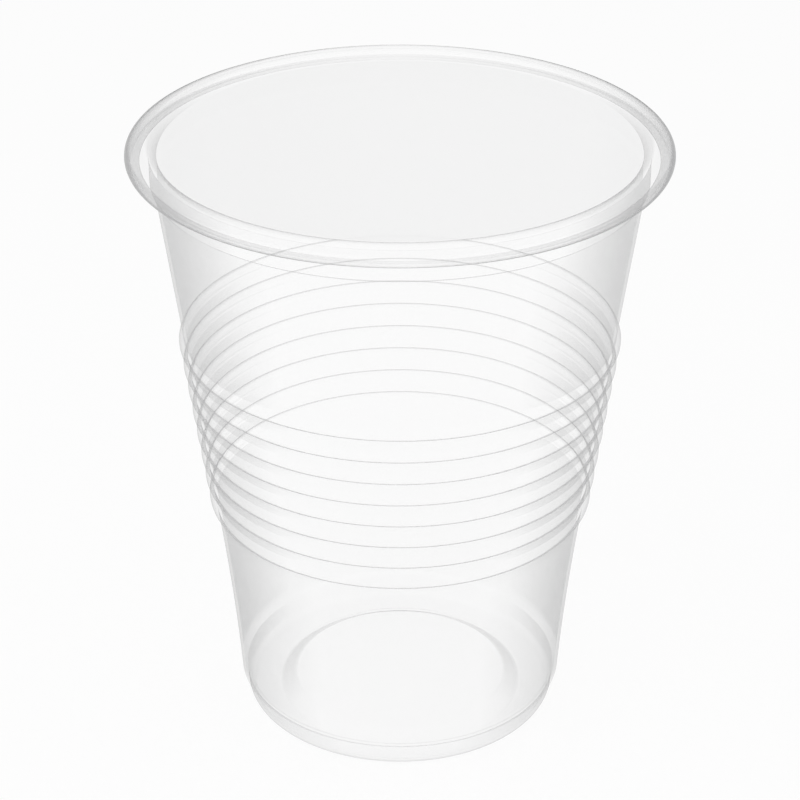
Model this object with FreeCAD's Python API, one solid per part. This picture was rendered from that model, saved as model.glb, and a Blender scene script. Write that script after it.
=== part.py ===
import FreeCAD, Part
import math
import os

# A clear disposable drinking cup, formed in one piece from thin sheet. Sizes are in millimetres.
# Z is the axis of the cup, and the origin is the centre of the flat ring that the cup stands on.
# The whole cup is one closed section, drawn in the XZ plane with x as the radius, and turned about Z.
# Small round stretches of the section are a few straight sides, whose ends lie on the true arc.

height = 83.0
wall = 0.4

# Base: a raised panel inside the flat ring that the cup stands on
foot_radius = 21.4
foot_corner = 1.2
foot_corner_sides = 2
foot_ring_width = 4.7
panel_lift = 1.3
panel_slope_width = 1.8

# Stacking step: the wall stands out over the foot, and rests on the rim of the cup below
step_height = 3.3
step_foot_flare = 0.25
step_width = 0.69
step_rise = 0.35

# Wall: a cone below the collar, which bends in a long bow towards the upright from the beads down
wall_draft = math.radians(7.84)
waist_height = 15.6

# Beads: half-round hoops that stand on the outside of a wall with a plain inside
bead_count = 8
bead_radius = 0.75
bead_sides = 2
first_bead_height = 31.65
bead_pitch = 3.358

# Collar: thick upright sheet between the cone and the rim
mouth_radius = 31.1
collar_wall = 1.0
collar_drop = 5.4
collar_step = 0.48
collar_rise = 0.35

# Rim: a ledge that slopes down from the mouth to a curl, which turns under and ends in a free edge
rim_radius = 35.15
mouth_bend = 1.43
mouth_bend_sides = 3
ledge_wall = 1.0
curl_radius = 0.92
curl_drop = 0.45
curl_wall = 0.45
curl_upper_sides = 2
curl_lower_sides = 2
curl_inner_sides = 1
lip_return = 1.9


def point(r, z):
    return FreeCAD.Vector(r, 0.0, z)


def unit(vector):
    return vector * (1.0 / vector.Length)


def left_of(direction):
    """The direction a quarter turn to the left. Going outwards under the base, that is up into the cup."""
    return point(-direction.z, direction.x)


def round_points(centre, radius, first, last, sides):
    """Points on an arc in the section, from one angle to another in degrees, for that many sides."""
    angles = [math.radians(first + (last - first) * number / sides) for number in range(sides + 1)]
    return [centre + point(radius * math.cos(angle), radius * math.sin(angle)) for angle in angles]


def inset(points, depth):
    """The line that lies that deep to the left of a line of points, with its corners mitred."""
    sides = [left_of(unit(after - before)) for before, after in zip(points, points[1:])]
    moved = [points[0] + sides[0] * depth]
    for here, before, after in zip(points[1:-1], sides, sides[1:]):
        moved.append(here + (before + after) * (depth / (1.0 + before.dot(after))))
    return moved + [points[-1] + sides[-1] * depth]


# The cone and the stacking step, which follow from the mouth and from the foot
collar_radius = mouth_radius + collar_wall
cone_top = point(collar_radius - collar_step, height - collar_drop)
cone_up = point(math.sin(wall_draft), math.cos(wall_draft))
cone_out = left_of(cone_up) * -1.0
step_foot_radius = foot_radius + step_foot_flare
step_wall_radius = step_foot_radius + step_width
bead_heights = [first_bead_height + number * bead_pitch for number in range(bead_count)]


def on_cone(z, depth=0.0):
    """The point of the cone at a height on its outside, and that deep in the wall."""
    return cone_top + cone_up * ((z - cone_top.z) / cone_up.z) - cone_out * depth


def bead(z):
    """The outside of one bead, upwards: a half-round in a few sides."""
    angles = [math.pi * number / bead_sides for number in range(bead_sides + 1)]
    along = [cone_up * (-bead_radius * math.cos(angle)) for angle in angles]
    out = [cone_out * (bead_radius * math.sin(angle)) for angle in angles]
    return [on_cone(z) + step_along + step_out for step_along, step_out in zip(along, out)]


def base_points():
    """The outside of the base, from the middle of the panel to the top of the stacking step."""
    foot_inner_radius = foot_radius - foot_ring_width
    corner_centre = point(foot_radius - foot_corner, foot_corner)
    return [
        point(0.0, panel_lift),
        point(foot_inner_radius - panel_slope_width, panel_lift),
        point(foot_inner_radius, 0.0),
        *round_points(corner_centre, foot_corner, -90.0, 0.0, foot_corner_sides),
        point(step_foot_radius, step_height),
        point(step_wall_radius, step_height + step_rise),
    ]


def rim_points():
    """From the top of the cone up the collar, under the ledge, round the curl and over it to the mouth."""
    underside = height - ledge_wall
    curl_centre = point(rim_radius - curl_radius, height - curl_drop - curl_radius)
    mouth_centre = point(mouth_radius + mouth_bend, height - mouth_bend)
    curl_inner_radius = curl_radius - curl_wall
    lip_edge_radius = rim_radius - lip_return
    ledge_slope = math.degrees(math.atan2(curl_drop, curl_centre.x - mouth_centre.x))
    return [
        cone_top,
        point(collar_radius, cone_top.z + collar_rise),
        point(collar_radius, underside),
        point(curl_centre.x, underside),
        *round_points(curl_centre, curl_inner_radius, 0.0, -90.0, curl_inner_sides),
        point(lip_edge_radius, curl_centre.z - curl_inner_radius),
        point(lip_edge_radius, curl_centre.z - curl_radius),
        *round_points(curl_centre, curl_radius, -90.0, 0.0, curl_lower_sides),
        *round_points(curl_centre, curl_radius, 0.0, 90.0 - ledge_slope, curl_upper_sides)[1:],
        *round_points(mouth_centre, mouth_bend, 90.0, 180.0, mouth_bend_sides),
    ]


def straight(points):
    return Part.makePolygon(points).Edges


def bow(start, corner, end):
    """One smooth curve, which leaves and arrives along the two lines that meet at the corner."""
    curve = Part.BezierCurve()
    curve.setPoles([start, corner, end])
    return [curve.toShape()]


def cup():
    """The whole cup: up the outside, over the rim, down the inside, and turned about the axis."""
    beads = [place for z in bead_heights for place in bead(z)]
    waist = on_cone(waist_height)
    outside_base = base_points()
    *inside_base, inside_waist, _ = inset(outside_base + [waist, cone_top], wall)
    mouth_foot = inside_waist + cone_up * ((mouth_radius - inside_waist.x) / cone_up.x)
    outside_top = beads + rim_points()
    inside_bow_top = on_cone(beads[0].z, wall)
    inside_top = [outside_top[-1], mouth_foot, inside_bow_top]
    edges = straight(outside_base)
    edges += bow(outside_base[-1], waist, beads[0])
    edges += straight(outside_top + inside_top[1:])
    edges += bow(inside_bow_top, inside_waist, inside_base[-1])
    edges += straight(inside_base[::-1] + [outside_base[0]])
    face = Part.Face(Part.Wire(edges))
    return face.revolve(FreeCAD.Vector(0, 0, 0), FreeCAD.Vector(0, 0, 1), 360)


os.makedirs("parts", exist_ok=True)
solid = cup()
solid.exportStep("parts/cup.step")
print("cup", solid.ShapeType, "valid", solid.isValid(), "volume", round(solid.Volume, 1), "mm3")
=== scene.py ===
import math

import bpy
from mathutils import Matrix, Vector


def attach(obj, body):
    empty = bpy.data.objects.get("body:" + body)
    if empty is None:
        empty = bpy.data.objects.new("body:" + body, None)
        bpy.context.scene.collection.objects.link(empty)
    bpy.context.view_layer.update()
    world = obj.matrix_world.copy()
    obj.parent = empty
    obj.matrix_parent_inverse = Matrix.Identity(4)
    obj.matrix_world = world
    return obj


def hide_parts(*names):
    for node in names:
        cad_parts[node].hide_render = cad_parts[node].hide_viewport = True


# A clear disposable drinking cup, turned from one fine section, on a plain pale floor.
# Sizes of the section are in millimetres, as on a drawing. Everything in the scene is in metres.

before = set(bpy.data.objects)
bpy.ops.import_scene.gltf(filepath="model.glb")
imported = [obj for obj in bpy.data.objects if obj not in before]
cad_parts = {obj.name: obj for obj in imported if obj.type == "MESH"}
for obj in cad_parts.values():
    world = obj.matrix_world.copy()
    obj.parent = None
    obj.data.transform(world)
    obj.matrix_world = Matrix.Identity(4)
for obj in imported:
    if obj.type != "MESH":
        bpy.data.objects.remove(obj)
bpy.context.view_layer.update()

MM = 0.001
SEGMENTS = 192
ARC_STEP = 15.0
MERGE_DISTANCE = 0.5e-6

# Sizes of the section, in millimetres
HEIGHT = 83.0
WALL = 0.4
LEAST_ROUNDING = 0.08
LEAST_SPACING = 1e-4
LEVEL_TOLERANCE = 1e-6
ROW_GAP = 0.25

FOOT_RADIUS = 21.4
FOOT_CORNER = 1.2
FOOT_RING_WIDTH = 4.7
PANEL_LIFT = 1.3
PANEL_SLOPE_WIDTH = 1.8
PANEL_CORNER = 1.0

STEP_HEIGHT = 3.3
STEP_FOOT_FLARE = 0.25
STEP_WIDTH = 0.69
STEP_RISE = 0.35
STEP_CORNER = 0.15

WALL_DRAFT = math.radians(7.84)
WAIST_HEIGHT = 15.6
BOW_SIDES = 16

BEAD_COUNT = 8
BEAD_RADIUS = 0.75
BEAD_FILLET = 0.3
FIRST_BEAD_HEIGHT = 31.65
BEAD_PITCH = 3.358

MOUTH_RADIUS = 31.1
COLLAR_WALL = 1.0
COLLAR_DROP = 5.4
COLLAR_STEP = 0.48
COLLAR_RISE = 0.35
COLLAR_CORNER = 0.15
MOUTH_RUN_IN = 3.0

RIM_RADIUS = 35.15
MOUTH_BEND = 1.43
LEDGE_WALL = 1.0
LEDGE_CORNER = 0.2
CURL_RADIUS = 0.92
CURL_DROP = 0.45
CURL_WALL = 0.45
LIP_RETURN = 1.9
LIP_CORNER = 0.12

# How strongly each stretch of the sheet takes painted grey shade at a slant, and, as a crease, most where
# it is edge on
EDGE_WALL = 1.0
EDGE_BEAD = 1.05
CREASE_BEAD = 0.12
EDGE_INSIDE = 0.08
EDGE_FLAT_BASE = 0.1
EDGE_PANEL_SLOPE = 0.9
EDGE_FOOT = 0.5
CREASE_FOOT = 0.3
EDGE_COLLAR = 0.35
EDGE_LEDGE = 0.2
EDGE_UNDER_LEDGE = 0.06
EDGE_LIP = 0.5
EDGE_CURL = 0.75
CREASE_CURL = 0.9
EDGE_BEND = 0.15
CREASE_BEND = 0.6

ROW_VALUES = ("edge", "crease", "inner_skin", "rim")

# The clear sheet: how its painted grey shade grows with the slant of the view, as shares of full cover
FILM_ALPHA = 0.04
SLANT_START = 0.34
SLANT_POWER = 1.5
SLANT_SHARE = 0.42
CREASE_POWER = 3.0
OUTLINE_POWER = 10.0
OUTLINE_SHARE = 0.5
INSIDE_FADE = 0.9
# The even pale grey painted as shade on the inside wall, where no other wall is in front
INSIDE_SHADE = 0.065
SHADOW_FADE = 0.7
SHEEN = 0.25

# The rim's painted shade gains along its ring, and loses across it
RING_START = 0.2
GAIN_ALONG = 1.2
GAIN_ACROSS = -0.6

# The floor and the surround. The floor lies a hair under the cup, so that the two planes don't mix
FLOOR_REACH = 4.0
FLOOR_DROP = 0.05 * MM
FLOOR_GLOW = 0.86
SURROUND_LIGHT = 0.78
SURROUND_SEEN = 0.98
LAMP_AIM = (0.0, 0.0, 0.04)
LAMP_SIZE = 0.8

# The camera, fitted to the ellipses of the rim, the hoops and the foot in the photograph
CAMERA_BACK = 302.07 * MM
CAMERA_HEIGHT = 207.9 * MM
CAMERA_PITCH = math.radians(28.377)
CAMERA_LENS = 114.62


def polar(radius, degrees):
    angle = math.radians(degrees)
    return Vector((radius * math.cos(angle), radius * math.sin(angle)))


def left_of(direction):
    """The direction a quarter turn to the left. Going outwards under the base, that is up into the cup."""
    return Vector((-direction.y, direction.x))


def arc_points(centre, start, end):
    """Points on the shorter arc about the centre between two points on it."""
    first, last = start - centre, end - centre
    turn = math.atan2(first.x * last.y - first.y * last.x, first.dot(last))
    sides = max(2, math.ceil(abs(math.degrees(turn)) / ARC_STEP))
    angle = math.degrees(math.atan2(first.y, first.x))
    step = math.degrees(turn) / sides
    return [centre + polar(first.length, angle + step * number) for number in range(sides + 1)]


def rounded(corners):
    """Points from the first corner to the last, with each corner between rounded by its own radius."""
    points = [corners[0][0]]
    for (corner, radius), (after, _) in zip(corners[1:-1], corners[2:]):
        back = (points[-1] - corner).normalized()
        ahead = (after - corner).normalized()
        half_angle = back.angle(ahead) / 2.0
        reach = radius / math.tan(half_angle)
        centre = corner + (back + ahead).normalized() * (radius / math.sin(half_angle))
        points += arc_points(centre, corner + back * reach, corner + ahead * reach)
    return points + [corners[-1][0]]


def inset(corners, depth):
    """The same corners on the skin that lies that deep to their left, with their roundings to suit."""
    places = [place for place, _ in corners]
    normals = [left_of((after - before).normalized()) for before, after in zip(places, places[1:])]
    moved = [(places[0] + normals[0] * depth, 0.0)]
    for (place, radius), before, after in zip(corners[1:-1], normals, normals[1:]):
        bends_left = before.x * after.y > before.y * after.x
        inner_radius = max(radius - depth, LEAST_ROUNDING) if bends_left else radius + depth
        moved.append((place + (before + after) * (depth / (1.0 + before.dot(after))), inner_radius))
    return moved + [(places[-1] + normals[-1] * depth, 0.0)]


# The cone and the stacking step, which follow from the mouth and from the foot
collar_radius = MOUTH_RADIUS + COLLAR_WALL
cone_top = Vector((collar_radius - COLLAR_STEP, HEIGHT - COLLAR_DROP))
cone_up = Vector((math.sin(WALL_DRAFT), math.cos(WALL_DRAFT)))
cone_out = -left_of(cone_up)
step_foot_radius = FOOT_RADIUS + STEP_FOOT_FLARE
step_wall_radius = step_foot_radius + STEP_WIDTH


def on_cone(z, depth=0.0):
    """The point of the cone at a height on its outside, and that deep in the wall."""
    return cone_top + cone_up * ((z - cone_top.y) / cone_up.y) - cone_out * depth


def bead_points(z):
    """One hoop with its two root fillets, upwards."""
    centre = on_cone(z)
    root_reach = BEAD_RADIUS + BEAD_FILLET
    spread = math.sqrt(root_reach ** 2 - BEAD_FILLET ** 2)
    roots = []
    for side in (-1.0, 1.0):
        root_centre = centre + cone_up * (side * spread) + cone_out * BEAD_FILLET
        foot = root_centre - cone_out * BEAD_FILLET
        meeting = root_centre + (centre - root_centre).normalized() * BEAD_FILLET
        roots.append(arc_points(root_centre, foot, meeting))
    below, above = roots
    crown = centre + cone_out * BEAD_RADIUS
    rising = arc_points(centre, below[-1], crown)
    falling = arc_points(centre, crown, above[-1])
    return below + rising[1:] + falling[1:-1] + above[::-1]


def bow_points(start, corner, end):
    """Points inside one smooth curve, which leaves and arrives along the two lines to the corner."""
    shares = [number / BOW_SIDES for number in range(1, BOW_SIDES)]
    return [start * (1 - t) ** 2 + corner * (2 * t * (1 - t)) + end * t ** 2 for t in shares]


def base_corners():
    """Corners of the outside of the base, from the middle of the panel to the waist."""
    foot_inner_radius = FOOT_RADIUS - FOOT_RING_WIDTH
    return [
        (Vector((0.0, PANEL_LIFT)), 0.0),
        (Vector((foot_inner_radius - PANEL_SLOPE_WIDTH, PANEL_LIFT)), PANEL_CORNER),
        (Vector((foot_inner_radius, 0.0)), PANEL_CORNER),
        (Vector((FOOT_RADIUS, 0.0)), FOOT_CORNER),
        (Vector((step_foot_radius, STEP_HEIGHT)), STEP_CORNER),
        (Vector((step_wall_radius, STEP_HEIGHT + STEP_RISE)), STEP_CORNER),
        (on_cone(WAIST_HEIGHT), 0.0),
    ]


def weighted(points, edge, crease=0.0):
    """The points as rows with their edge and crease weights of painted shade."""
    return [(place, edge, crease) for place in points]


def base_weighted(points, weight):
    """Rows of the base, which takes less painted shade where it lies flat, on the panel's slope and on the
    foot.
    """
    rows = []
    for before, here, after in zip([points[0]] + points, points, points[1:] + [points[-1]]):
        edge, crease = EDGE_WALL, 0.0
        if min(abs(after.y - here.y), abs(here.y - before.y)) < LEVEL_TOLERANCE:
            edge = EDGE_FLAT_BASE
        elif here.x < FOOT_RADIUS - FOOT_RING_WIDTH / 2.0:
            edge = EDGE_PANEL_SLOPE
        elif here.y < STEP_HEIGHT / 2.0:
            edge, crease = EDGE_FOOT, CREASE_FOOT
        rows.append((here, weight * edge, weight * crease))
    return rows


def rim_section(band_end):
    """Rows of the collar, of the rim from under its ledge round the curl, and of the mouth's bend."""
    underside = HEIGHT - LEDGE_WALL
    curl_centre = Vector((RIM_RADIUS - CURL_RADIUS, HEIGHT - CURL_DROP - CURL_RADIUS))
    mouth_centre = Vector((MOUTH_RADIUS + MOUTH_BEND, HEIGHT - MOUTH_BEND))
    curl_inner_radius = CURL_RADIUS - CURL_WALL
    lip_edge_radius = RIM_RADIUS - LIP_RETURN
    bottom = curl_centre.y - CURL_RADIUS
    across = curl_centre - mouth_centre
    slope = math.degrees(math.atan2(-across.y, across.x))
    lean = math.degrees(math.asin((MOUTH_BEND - CURL_RADIUS) / across.length))
    tangent_angle = 90.0 - slope - lean
    collar = rounded([
        (band_end, 0.0),
        (cone_top, COLLAR_CORNER),
        (Vector((collar_radius, cone_top.y + COLLAR_RISE)), COLLAR_CORNER),
        (Vector((collar_radius, underside)), LEDGE_CORNER),
        (Vector((curl_centre.x, underside)), 0.0),
    ])[1:-1]
    inner_top = curl_centre + polar(curl_inner_radius, 90.0)
    inner_side = curl_centre + polar(curl_inner_radius, 0.0)
    inner_bottom = curl_centre - polar(curl_inner_radius, 90.0)
    under_ledge = [Vector((collar_radius + LEDGE_CORNER, underside))]
    under_ledge += arc_points(curl_centre, inner_top, inner_side)
    under_ledge += arc_points(curl_centre, inner_side, inner_bottom)[1:-1]
    lip = rounded([
        (inner_bottom, 0.0),
        (Vector((lip_edge_radius, inner_bottom.y)), LIP_CORNER),
        (Vector((lip_edge_radius, bottom)), LIP_CORNER),
        (Vector((curl_centre.x, bottom)), 0.0),
    ])
    curl_side = curl_centre + polar(CURL_RADIUS, 0.0)
    curl_top = curl_centre + polar(CURL_RADIUS, tangent_angle)
    bend_top = mouth_centre + polar(MOUTH_BEND, tangent_angle)
    crest = mouth_centre + polar(MOUTH_BEND, 90.0)
    mouth_side = mouth_centre - Vector((MOUTH_BEND, 0.0))
    curl = arc_points(curl_centre, curl_centre - polar(CURL_RADIUS, 90.0), curl_side)[1:]
    curl += arc_points(curl_centre, curl_side, curl_top)[1:-1]
    step = [place for place in collar[:-1] if place.y < (cone_top.y + underside) / 2.0]
    upright = weighted(step, EDGE_WALL) + weighted(collar[len(step):-1], EDGE_COLLAR)
    outside = weighted(under_ledge, EDGE_UNDER_LEDGE) + weighted(lip, EDGE_LIP)
    outside += weighted(curl, EDGE_CURL, CREASE_CURL) + weighted([curl_top, bend_top], EDGE_LEDGE)
    outside += weighted(arc_points(mouth_centre, bend_top, crest)[1:], EDGE_BEND)
    inside = weighted(arc_points(mouth_centre, crest, mouth_side)[1:], EDGE_BEND, CREASE_BEND)
    return upright, outside, inside


def section_rows():
    """Rows of (point, edge, crease, inner skin, rim) up the outside, over the rim and down the inside."""
    heights = [FIRST_BEAD_HEIGHT + number * BEAD_PITCH for number in range(BEAD_COUNT)]
    band = [place for z in heights for place in bead_points(z)]
    outside_corners = base_corners()
    inside_corners = inset(outside_corners + [(cone_top, 0.0)], WALL)[:-1]
    inner_waist = inside_corners[-1][0]
    inner_bow_top = on_cone(band[0].y, WALL)
    outer_base = rounded(outside_corners)[:-1]
    inner_base = rounded(inside_corners)[:-1]
    outer_bow = bow_points(outer_base[-1], outside_corners[-1][0], band[0])
    inner_bow = bow_points(inner_base[-1], inner_waist, inner_bow_top) + [inner_bow_top]
    upright, rim_outside, rim_inside = rim_section(band[-1])
    mouth_foot = inner_waist + cone_up * ((MOUTH_RADIUS - inner_waist.x) / cone_up.x)
    mouth_side = rim_inside[-1][0]
    run_in = rounded([(mouth_side, 0.0), (mouth_foot, MOUTH_RUN_IN), (inner_bow_top, 0.0)])[1:-1]
    below_mouth = mouth_side - Vector((0.0, ROW_GAP))
    inner_wall = weighted([below_mouth] + run_in + inner_bow[::-1], EDGE_INSIDE)
    outer_wall = weighted(outer_bow, EDGE_WALL) + weighted(band, EDGE_BEAD, CREASE_BEAD)
    outer_wall += weighted([on_cone(band[-1].y + ROW_GAP)], EDGE_WALL) + upright
    rows = [(*row, 0.0, 0.0) for row in base_weighted(outer_base, 1.0) + outer_wall]
    rows += [(*row, 0.0, 1.0) for row in rim_outside]
    rows += [(*row, 1.0, 1.0) for row in rim_inside]
    rows += [(*row, 1.0, 0.0) for row in inner_wall + base_weighted(inner_base[::-1], EDGE_INSIDE)]
    kept = [rows[0]]
    for row in rows[1:]:
        if (row[0] - kept[-1][0]).length > LEAST_SPACING:
            kept.append(row)
    return kept


def section_object():
    """The section as a line of vertices in the XZ plane, with its edge, crease, skin and rim values."""
    rows = section_rows()
    mesh = bpy.data.meshes.new("cup_section")
    places = [(row[0].x * MM, 0.0, row[0].y * MM) for row in rows]
    mesh.from_pydata(places, [(i, i + 1) for i in range(len(places) - 1)], [])
    for column, name in enumerate(ROW_VALUES, start=1):
        attribute = mesh.attributes.new(name, "FLOAT", "POINT")
        attribute.data.foreach_set("value", [row[column] for row in rows])
    piece = bpy.data.objects.new("clear_cup", mesh)
    bpy.context.scene.collection.objects.link(piece)
    return piece


def add_node(tree, kind, **settings):
    node = tree.nodes.new(kind)
    for name, value in settings.items():
        setattr(node, name, value)
    return node


def wire(tree, target, source):
    """Links a node's output to an input, or sets the input where the source is a plain value."""
    if isinstance(source, bpy.types.NodeSocket):
        tree.links.new(source, target)
    else:
        target.default_value = source


def math_node(tree, operation, first, second=0.0, clamp=False, kind="ShaderNodeMath"):
    node = add_node(tree, kind, operation=operation)
    if clamp:
        node.use_clamp = True
    wire(tree, node.inputs[0], first)
    wire(tree, node.inputs[1], second)
    return node.outputs[0]


def turned_section_tree():
    """Turns a line of vertices in the XZ plane about Z, and closes the seam and the poles."""
    tree = bpy.data.node_groups.new("turned section", "GeometryNodeTree")
    face = tree.interface
    face.new_socket("Section", in_out="INPUT", socket_type="NodeSocketGeometry")
    face.new_socket("Segments", in_out="INPUT", socket_type="NodeSocketInt")
    face.new_socket("Merge Distance", in_out="INPUT", socket_type="NodeSocketFloat")
    face.new_socket("Material", in_out="INPUT", socket_type="NodeSocketMaterial")
    face.new_socket("Turned", in_out="OUTPUT", socket_type="NodeSocketGeometry")
    given = add_node(tree, "NodeGroupInput").outputs
    size = add_node(tree, "GeometryNodeAttributeDomainSize", component="MESH")
    wire(tree, size.inputs["Geometry"], given["Section"])
    count = size.outputs["Point Count"]
    columns = math_node(tree, "ADD", given["Segments"], 1, kind="FunctionNodeIntegerMath")
    grid = add_node(tree, "GeometryNodeMeshGrid")
    wire(tree, grid.inputs["Vertices X"], columns)
    wire(tree, grid.inputs["Vertices Y"], count)
    index = add_node(tree, "GeometryNodeInputIndex").outputs[0]
    row = math_node(tree, "MODULO", index, count, kind="FunctionNodeIntegerMath")
    column = math_node(tree, "DIVIDE", index, count, kind="FunctionNodeIntegerMath")

    def sampled(value, data_type):
        node = add_node(tree, "GeometryNodeSampleIndex", data_type=data_type, domain="POINT")
        wire(tree, node.inputs["Geometry"], given["Section"])
        wire(tree, node.inputs["Value"], value)
        wire(tree, node.inputs["Index"], row)
        return node.outputs["Value"]

    position = add_node(tree, "GeometryNodeInputPosition").outputs[0]
    place = add_node(tree, "ShaderNodeSeparateXYZ")
    wire(tree, place.inputs[0], sampled(position, "FLOAT_VECTOR"))
    radius = place.outputs["X"]
    one_step = math_node(tree, "DIVIDE", 2.0 * math.pi, given["Segments"])
    angle = math_node(tree, "MULTIPLY", column, one_step)
    turned = add_node(tree, "ShaderNodeCombineXYZ")
    for axis, function in (("X", "COSINE"), ("Y", "SINE")):
        reach = math_node(tree, "MULTIPLY", radius, math_node(tree, function, angle))
        wire(tree, turned.inputs[axis], reach)
    wire(tree, turned.inputs["Z"], place.outputs["Z"])
    moved = add_node(tree, "GeometryNodeSetPosition")
    wire(tree, moved.inputs["Geometry"], grid.outputs["Mesh"])
    wire(tree, moved.inputs["Position"], turned.outputs[0])
    shape = moved.outputs[0]
    for name in ROW_VALUES:
        value = add_node(tree, "GeometryNodeInputNamedAttribute", data_type="FLOAT")
        value.inputs["Name"].default_value = name
        store = add_node(tree, "GeometryNodeStoreNamedAttribute", data_type="FLOAT", domain="POINT")
        store.inputs["Name"].default_value = name
        wire(tree, store.inputs["Geometry"], shape)
        wire(tree, store.inputs["Value"], sampled(value.outputs["Attribute"], "FLOAT"))
        shape = store.outputs[0]
    merge = add_node(tree, "GeometryNodeMergeByDistance")
    wire(tree, merge.inputs["Geometry"], shape)
    wire(tree, merge.inputs["Distance"], given["Merge Distance"])
    smooth = add_node(tree, "GeometryNodeSetShadeSmooth")
    wire(tree, smooth.inputs["Geometry"], merge.outputs[0])
    realized = add_node(tree, "GeometryNodeRealizeInstances")
    wire(tree, realized.inputs["Geometry"], smooth.outputs[0])
    coated = add_node(tree, "GeometryNodeSetMaterial")
    wire(tree, coated.inputs["Geometry"], realized.outputs[0])
    wire(tree, coated.inputs["Material"], given["Material"])
    wire(tree, add_node(tree, "NodeGroupOutput").inputs[0], coated.outputs[0])
    return tree


def made_mesh(piece, tree, values):
    """Runs the tree on the piece with those inputs, and leaves the result as the piece's plain mesh."""
    modifier = piece.modifiers.new("make", "NODES")
    modifier.node_group = tree
    for item in tree.interface.items_tree:
        if item.in_out == "INPUT" and item.name in values:
            modifier[item.identifier] = values[item.name]
    evaluated = piece.evaluated_get(bpy.context.evaluated_depsgraph_get())
    mesh = bpy.data.meshes.new_from_object(evaluated)
    piece.modifiers.remove(modifier)
    piece.data = mesh
    return piece


def new_material(name):
    material = bpy.data.materials.new(name)
    material.use_nodes = True
    tree = material.node_tree
    tree.nodes.clear()
    return material, tree


def attribute_value(tree, name):
    return add_node(tree, "ShaderNodeAttribute", attribute_name=name).outputs["Fac"]


def ranged(tree, source, low, high, start=0.0):
    """The source, from the start to 1, mapped to the range from low to high."""
    node = add_node(tree, "ShaderNodeMapRange")
    wire(tree, node.inputs["Value"], source)
    node.inputs["From Min"].default_value = start
    node.inputs["To Min"].default_value = low
    node.inputs["To Max"].default_value = high
    return node.outputs[0]


def ring_gain(tree, place):
    """The rim's gain of painted shade: where it is looked at along its ring, it stands in for light that
    has come through much plastic.
    """
    along = add_node(tree, "ShaderNodeVectorMath", operation="CROSS_PRODUCT")
    along.inputs[0].default_value = (0.0, 0.0, 1.0)
    wire(tree, along.inputs[1], place)
    turned = add_node(tree, "ShaderNodeVectorTransform", vector_type="VECTOR")
    turned.convert_from = "OBJECT"
    turned.convert_to = "WORLD"
    wire(tree, turned.inputs[0], along.outputs[0])
    unit = add_node(tree, "ShaderNodeVectorMath", operation="NORMALIZE")
    wire(tree, unit.inputs[0], turned.outputs[0])
    across = add_node(tree, "ShaderNodeLayerWeight")
    wire(tree, across.inputs["Normal"], unit.outputs[0])
    more = ranged(tree, across.outputs["Facing"], GAIN_ALONG, GAIN_ACROSS, start=RING_START)
    rim_more = math_node(tree, "MULTIPLY", more, attribute_value(tree, "rim"))
    return math_node(tree, "ADD", rim_more, 1.0)


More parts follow.
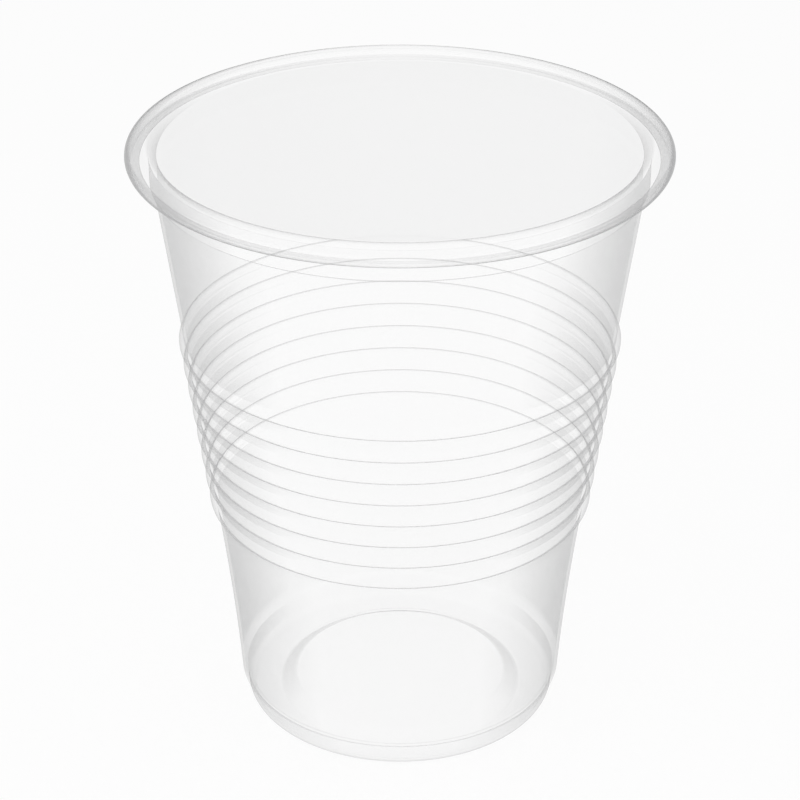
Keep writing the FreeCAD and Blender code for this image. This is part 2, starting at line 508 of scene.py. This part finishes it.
def clear_plastic():
    """Clear sheet: nearly unseen face on, with painted grey shade where it is seen along the sheet or
    through a curl.

    All the painted shade is grey cover by alpha, without refraction.
    """
    material, tree = new_material("clear_plastic")
    facing = add_node(tree, "ShaderNodeLayerWeight").outputs["Facing"]
    light_path = add_node(tree, "ShaderNodeLightPath").outputs
    behind = add_node(tree, "ShaderNodeNewGeometry").outputs["Backfacing"]
    place = add_node(tree, "ShaderNodeTexCoord").outputs["Object"]

    # The painted shade of the sheet at a slant: none up to about half way to edge on, then soon its full
    # share
    square_on = ranged(tree, facing, 1.0, 0.0, start=SLANT_START)
    slant = math_node(tree, "SUBTRACT", 1.0, math_node(tree, "POWER", square_on, SLANT_POWER))
    share = math_node(tree, "MULTIPLY", slant, SLANT_SHARE)
    share = math_node(tree, "MULTIPLY", share, ring_gain(tree, place))
    soft_line = math_node(tree, "MULTIPLY", share, attribute_value(tree, "edge"))
    # Painted shade along the creases, darkest where the sheet is edge on
    edge_on = math_node(tree, "POWER", facing, CREASE_POWER)
    hard_line = math_node(tree, "MULTIPLY", edge_on, attribute_value(tree, "crease"))
    line = math_node(tree, "ADD", soft_line, hard_line)

    # Painted shade: the dark outline of the wall, where the eye looks along its outer skin
    inner_skin = attribute_value(tree, "inner_skin")
    off_rim = math_node(tree, "SUBTRACT", 1.0, attribute_value(tree, "rim"))
    hidden = math_node(tree, "MAXIMUM", inner_skin, behind)
    outside_view = math_node(tree, "SUBTRACT", off_rim, hidden, clamp=True)
    along_skin = math_node(tree, "POWER", facing, OUTLINE_POWER)
    outline = math_node(tree, "MULTIPLY", along_skin, outside_view)
    line = math_node(tree, "ADD", line, math_node(tree, "MULTIPLY", outline, OUTLINE_SHARE))

    # Seen from the inside of the cup, with no other wall in front: an even pale grey of painted shade, and
    # hardly a line
    from_inside = math_node(tree, "ABSOLUTE", math_node(tree, "SUBTRACT", inner_skin, behind))
    first_wall = math_node(tree, "LESS_THAN", light_path["Transparent Depth"], 1.5)
    inside_view = math_node(tree, "MULTIPLY", from_inside, first_wall)
    inside_view = math_node(tree, "MULTIPLY", inside_view, off_rim)
    fade = math_node(tree, "SUBTRACT", 1.0, math_node(tree, "MULTIPLY", inside_view, INSIDE_FADE))
    inside_shade = math_node(tree, "MULTIPLY", inside_view, INSIDE_SHADE)
    seen_share = math_node(tree, "ADD", math_node(tree, "MULTIPLY", line, fade), inside_shade)

    # The thin sheet keeps little light back, so that its own shadow stays pale
    passed = math_node(tree, "MULTIPLY", light_path["Is Shadow Ray"], SHADOW_FADE)
    grey_share = math_node(tree, "MULTIPLY", seen_share, math_node(tree, "SUBTRACT", 1.0, passed))
    alpha = math_node(tree, "ADD", grey_share, FILM_ALPHA, clamp=True)
    grey_part = math_node(tree, "DIVIDE", grey_share, alpha, clamp=True)
    # The sheet's own faint white, mixed towards a grey that is the painted shade
    colour = add_node(tree, "ShaderNodeMix", data_type="RGBA")
    wire(tree, colour.inputs["Factor"], grey_part)
    colour.inputs["A"].default_value = (0.97, 0.97, 0.97, 1.0)
    colour.inputs["B"].default_value = (0.4, 0.4, 0.404, 1.0)

    # Soft cloudy patches drawn out up the wall, where the stretched sheet is a little less smooth
    stretch = add_node(tree, "ShaderNodeMapping")
    wire(tree, stretch.inputs["Vector"], place)
    stretch.inputs["Scale"].default_value = (1.0, 1.0, 0.35)
    clouds = add_node(tree, "ShaderNodeTexNoise")
    wire(tree, clouds.inputs["Vector"], stretch.outputs[0])
    clouds.inputs["Scale"].default_value = 90.0
    clouds.inputs["Detail"].default_value = 0.0
    bump = add_node(tree, "ShaderNodeBump")
    wire(tree, bump.inputs["Height"], clouds.outputs["Fac"])
    bump.inputs["Strength"].default_value = 0.1
    bump.inputs["Distance"].default_value = 0.0002
    plastic = add_node(tree, "ShaderNodeBsdfPrincipled")
    wire(tree, plastic.inputs["Base Color"], colour.outputs["Result"])
    wire(tree, plastic.inputs["Alpha"], alpha)
    wire(tree, plastic.inputs["Specular IOR Level"], math_node(tree, "MULTIPLY", square_on, SHEEN))
    wire(tree, plastic.inputs["Roughness"], ranged(tree, clouds.outputs["Fac"], 0.1, 0.22))
    wire(tree, plastic.inputs["Normal"], bump.outputs[0])
    output = add_node(tree, "ShaderNodeOutputMaterial")
    wire(tree, output.inputs["Surface"], plastic.outputs[0])
    return material


def seen_directly(tree):
    """1 for rays from the camera and their mirror and see-through followers, and 0 for plain light."""
    light_path = add_node(tree, "ShaderNodeLightPath").outputs
    seen = math_node(tree, "MAXIMUM", light_path["Is Camera Ray"], light_path["Is Glossy Ray"])
    return math_node(tree, "MAXIMUM", seen, light_path["Is Transmission Ray"])


def floor_material():
    """A pale floor that the camera sees as near white, and that keeps a soft shadow."""
    material, tree = new_material("pale_floor")
    place = add_node(tree, "ShaderNodeTexCoord").outputs["Object"]
    grain = add_node(tree, "ShaderNodeTexNoise")
    wire(tree, grain.inputs["Vector"], place)
    grain.inputs["Scale"].default_value = 40.0
    matte = add_node(tree, "ShaderNodeBsdfDiffuse")
    wire(tree, matte.inputs["Color"], ranged(tree, grain.outputs["Fac"], 0.9, 0.92))
    glow = add_node(tree, "ShaderNodeEmission")
    mix = add_node(tree, "ShaderNodeMixShader")
    wire(tree, mix.inputs[0], math_node(tree, "MULTIPLY", seen_directly(tree), FLOOR_GLOW))
    wire(tree, mix.inputs[1], matte.outputs[0])
    wire(tree, mix.inputs[2], glow.outputs[0])
    output = add_node(tree, "ShaderNodeOutputMaterial")
    wire(tree, output.inputs["Surface"], mix.outputs[0])
    return material


def floor():
    """A wide flat square, which is part of the stage and not of the cup."""
    mesh = bpy.data.meshes.new("floor")
    sides = ((-1, -1), (1, -1), (1, 1), (-1, 1))
    corners = [(x * FLOOR_REACH, y * FLOOR_REACH, -FLOOR_DROP) for x, y in sides]
    mesh.from_pydata(corners, [], [(0, 1, 2, 3)])
    mesh.materials.append(floor_material())
    ground = bpy.data.objects.new("floor", mesh)
    bpy.context.scene.collection.objects.link(ground)


def studio_world():
    """A plain pale surround: white to the camera, and an even soft light for everything else."""
    world = bpy.data.worlds.new("studio")
    world.use_nodes = True
    tree = world.node_tree
    tree.nodes.clear()
    background = add_node(tree, "ShaderNodeBackground")
    level = ranged(tree, seen_directly(tree), SURROUND_LIGHT, SURROUND_SEEN)
    wire(tree, background.inputs["Strength"], level)
    wire(tree, add_node(tree, "ShaderNodeOutputWorld").inputs[0], background.outputs[0])
    bpy.context.scene.world = world


def soft_lamp(name, place, watts):
    lamp = bpy.data.lights.new(name, "AREA")
    lamp.size = LAMP_SIZE
    lamp.energy = watts
    holder = bpy.data.objects.new(name, lamp)
    holder.location = place
    holder.rotation_euler = (Vector(LAMP_AIM) - Vector(place)).to_track_quat("-Z", "Y").to_euler()
    bpy.context.scene.collection.objects.link(holder)


def camera():
    lens = bpy.data.cameras.new("camera")
    lens.sensor_width = 36.0
    lens.lens = CAMERA_LENS
    lens.clip_start = 0.01
    holder = bpy.data.objects.new("camera", lens)
    holder.location = (0.0, -CAMERA_BACK, CAMERA_HEIGHT)
    holder.rotation_euler = (math.radians(90.0) - CAMERA_PITCH, 0.0, 0.0)
    bpy.context.scene.collection.objects.link(holder)
    bpy.context.scene.camera = holder


camera()
cup = section_object()
made_mesh(cup, turned_section_tree(), {
    "Segments": SEGMENTS,
    "Merge Distance": MERGE_DISTANCE,
    "Material": clear_plastic(),
})
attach(cup, "root")
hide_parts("cup")

floor()
studio_world()
soft_lamp("key", (-0.5, -0.5, 0.9), 4.6)
soft_lamp("fill", (0.8, -0.3, 0.7), 2.3)
bpy.context.scene.view_settings.view_transform = "Standard"
